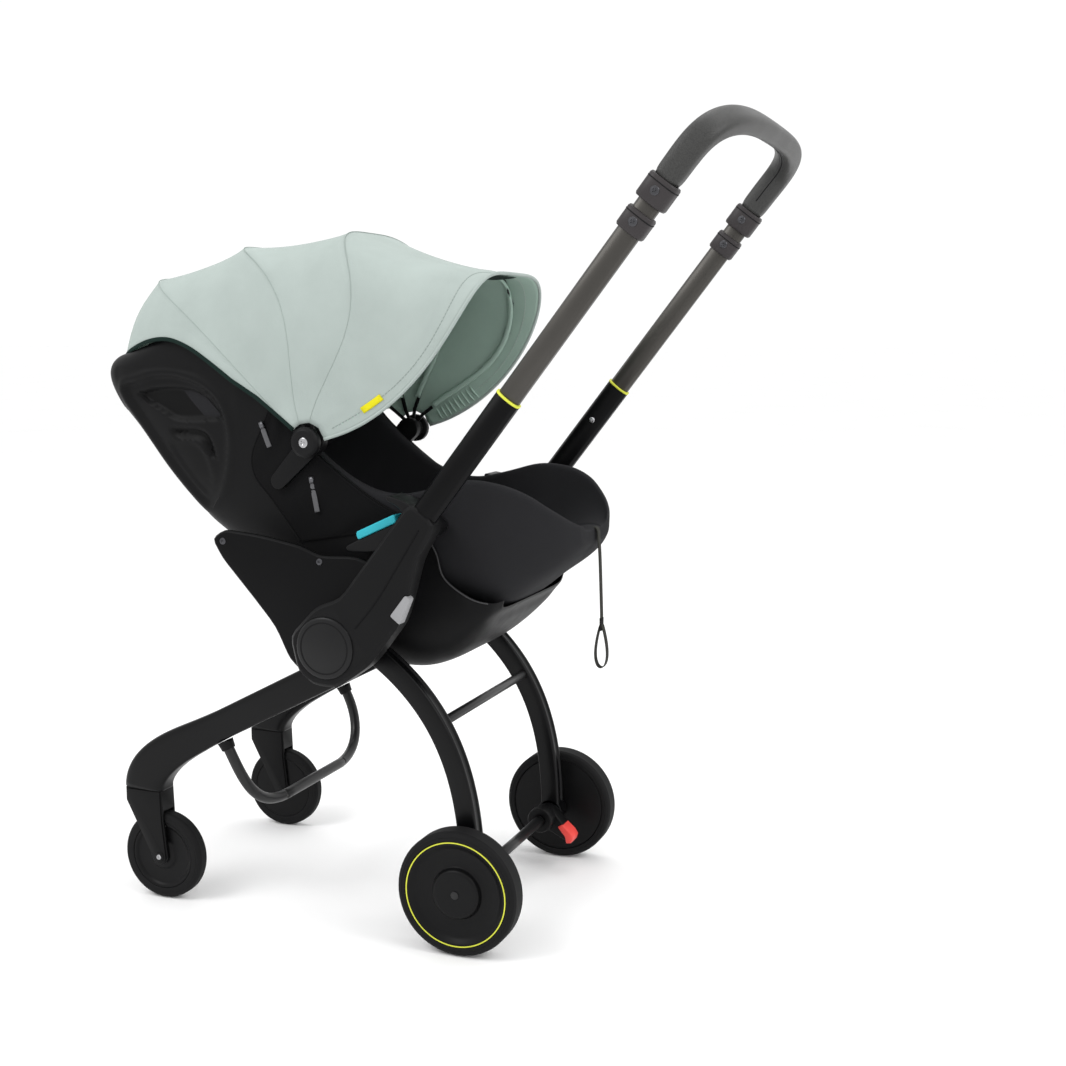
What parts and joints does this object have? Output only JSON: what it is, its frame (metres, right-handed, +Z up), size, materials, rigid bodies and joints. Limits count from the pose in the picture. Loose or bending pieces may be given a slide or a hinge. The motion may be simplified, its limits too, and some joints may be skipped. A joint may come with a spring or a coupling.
{
  "type": "car seat stroller",
  "caption": "Infant car seat with its own folding legs, wheels, telescopic push handle and folding canopy.",
  "frame": {"origin": "on the ground, centred across and along the object", "axes": "+Z up, -Y the way it travels (the swivel wheels' end), +X the user's left seen from the pusher facing +Y"},
  "size_m": [0.44, 0.8691, 0.9839],
  "materials": {
    "tyre_rubber": "matt moulded rubber",
    "wheel_plastic": "satin moulded",
    "leg_metal": "gloss black enamel",
    "bar_metal": "satin black enamel",
    "fork_plastic": "satin moulded",
    "red_plastic": "gloss moulded",
    "arm_plastic": "fine grain moulded",
    "button_plastic": "satin moulded",
    "lower_tube_metal": "satin black enamel",
    "upper_tube_metal": "dark grey anodised",
    "grip_cover": "grained synthetic leather",
    "shell_plastic": "fine grain moulded",
    "strip_plastic": "gloss moulded",
    "bow_plastic": "smooth moulded",
    "canopy_fabric": "plain woven polyester",
    "seat_fabric": "knitted stretch fabric",
    "webbing": "woven webbing"
  },
  "bodies": {
    "seat": {"seat_shell": "shell_plastic", "side_panel_left": "shell_plastic", "side_panel_right": "shell_plastic", "belt_guide_left": "shell_plastic", "belt_guide_right": "shell_plastic", "belt_strip_left": "strip_plastic", "belt_strip_right": "strip_plastic", "hub_pin_left": "bar_metal", "hub_pin_right": "bar_metal", "canopy_knob_left": "shell_plastic", "canopy_knob_right": "shell_plastic", "bow_a": "bow_plastic", "canopy_rear": "canopy_fabric", "seat_liner": "seat_fabric", "head_pad": "seat_fabric", "harness": "webbing", "buckle": "shell_plastic", "adjuster_strap": "webbing"},
    "rear_legs": {"rear_leg_left": "leg_metal", "rear_leg_right": "leg_metal", "rear_crossbar": "bar_metal", "rear_axle": "bar_metal", "brake_collar_left": "fork_plastic", "brake_collar_right": "fork_plastic"},
    "front_legs": {"front_leg_left": "leg_metal", "front_leg_right": "leg_metal", "front_bar": "bar_metal"},
    "caster_left": {"caster_fork_left": "fork_plastic"},
    "caster_right": {"caster_fork_right": "fork_plastic"},
    "front_wheel_left": {"front_tyre_left": "tyre_rubber", "front_wheel_left": "wheel_plastic"},
    "front_wheel_right": {"front_tyre_right": "tyre_rubber", "front_wheel_right": "wheel_plastic"},
    "rear_wheel_left": {"rear_tyre_left": "tyre_rubber", "rear_wheel_left": "wheel_plastic"},
    "rear_wheel_right": {"rear_tyre_right": "tyre_rubber", "rear_wheel_right": "wheel_plastic"},
    "brake_pedal": {"brake_pedal": "red_plastic"},
    "handle": {"handle_arm_left": "arm_plastic", "handle_arm_right": "arm_plastic", "lower_tube_left": "lower_tube_metal", "lower_tube_right": "lower_tube_metal", "hub_cap_left": "arm_plastic", "hub_cap_right": "arm_plastic"},
    "handle_upper": {"upper_tube_left": "upper_tube_metal", "upper_tube_right": "upper_tube_metal", "grip_lower_collar_left": "arm_plastic", "grip_lower_collar_right": "arm_plastic", "grip_upper_collar_left": "arm_plastic", "grip_upper_collar_right": "arm_plastic", "grip": "grip_cover"},
    "arm_button_left": {"arm_button_left": "button_plastic"},
    "arm_button_right": {"arm_button_right": "button_plastic"},
    "canopy_b": {"bow_b": "bow_plastic", "canopy_ab": "canopy_fabric"},
    "canopy_c": {"bow_c": "bow_plastic", "canopy_bc": "canopy_fabric"},
    "canopy_d": {"bow_d": "bow_plastic", "canopy_cd": "canopy_fabric"},
    "buckle_button": {"buckle_button": "red_plastic"}
  },
  "joints": [
    {"name": "rear_leg_fold", "type": "hinge", "parent": "seat", "child": "rear_legs", "pos_m": [0, -0.056, 0.368], "axis": [-1, 0, 0], "range_deg": [0, 115]},
    {"name": "front_leg_fold", "type": "hinge", "parent": "seat", "child": "front_legs", "pos_m": [0, -0.056, 0.368], "axis": [-1, 0, 0], "range_deg": [0, 70]},
    {"name": "caster_swivel_left", "type": "hinge", "parent": "front_legs", "child": "caster_left", "pos_m": [0.1535, -0.357, 0.148], "axis": [0, 0, 1], "continuous": true},
    {"name": "front_wheel_spin_left", "type": "hinge", "parent": "caster_left", "child": "front_wheel_left", "pos_m": [0.1535, -0.334, 0.058], "axis": [1, 0, 0], "continuous": true},
    {"name": "rear_wheel_spin_left", "type": "hinge", "parent": "rear_legs", "child": "rear_wheel_left", "pos_m": [0.18, 0.1, 0.0767], "axis": [1, 0, 0], "continuous": true},
    {"name": "caster_swivel_right", "type": "hinge", "parent": "front_legs", "child": "caster_right", "pos_m": [-0.1535, -0.357, 0.148], "axis": [0, 0, 1], "continuous": true},
    {"name": "front_wheel_spin_right", "type": "hinge", "parent": "caster_right", "child": "front_wheel_right", "pos_m": [-0.1535, -0.334, 0.058], "axis": [1, 0, 0], "continuous": true},
    {"name": "rear_wheel_spin_right", "type": "hinge", "parent": "rear_legs", "child": "rear_wheel_right", "pos_m": [-0.18, 0.1, 0.0767], "axis": [1, 0, 0], "continuous": true},
    {"name": "brake_press", "type": "hinge", "parent": "rear_legs", "child": "brake_pedal", "pos_m": [-0.119, 0.1, 0.0767], "axis": [-1, 0, 0], "range_deg": [0, 20]},
    {"name": "handle_turn", "type": "hinge", "parent": "seat", "child": "handle", "pos_m": [0, -0.056, 0.368], "axis": [1, 0, 0], "range_deg": [0, 60]},
    {"name": "handle_telescope", "type": "slide", "parent": "handle", "child": "handle_upper", "axis": [0, 0.6115, 0.7912], "range_m": [-0.22, 0]},
    {"name": "arm_button_press_left", "type": "slide", "parent": "handle", "child": "arm_button_left", "axis": [-1, 0, 0], "range_m": [0, 0.003], "stiffness_N_per_m": 900, "springref_m": -0.001},
    {"name": "arm_button_press_right", "type": "slide", "parent": "handle", "child": "arm_button_right", "axis": [1, 0, 0], "range_m": [0, 0.003], "stiffness_N_per_m": 900, "springref_m": -0.001},
    {"name": "canopy_turn_b", "type": "hinge", "parent": "seat", "child": "canopy_b", "pos_m": [0, -0.111, 0.606], "axis": [1, 0, 0], "range_deg": [0, 17], "deforming": ["canopy_ab"]},
    {"name": "canopy_turn_c", "type": "hinge", "parent": "seat", "child": "canopy_c", "pos_m": [0, -0.111, 0.606], "axis": [1, 0, 0], "range_deg": [0, 39], "deforming": ["canopy_bc"]},
    {"name": "canopy_turn_d", "type": "hinge", "parent": "seat", "child": "canopy_d", "pos_m": [0, -0.111, 0.606], "axis": [1, 0, 0], "range_deg": [0, 64], "deforming": ["canopy_cd"]},
    {"name": "buckle_press", "type": "slide", "parent": "seat", "child": "buckle_button", "axis": [0, 0.055, -0.9985], "range_m": [0, 0.002], "stiffness_N_per_m": 600, "springref_m": -0.001}
  ],
  "couplings": [
    {"joint": "front_leg_fold", "follows": "rear_leg_fold", "ratio": 0.6087},
    {"joint": "canopy_turn_b", "follows": "canopy_turn_d", "ratio": 0.26},
    {"joint": "canopy_turn_c", "follows": "canopy_turn_d", "ratio": 0.6}
  ]
}
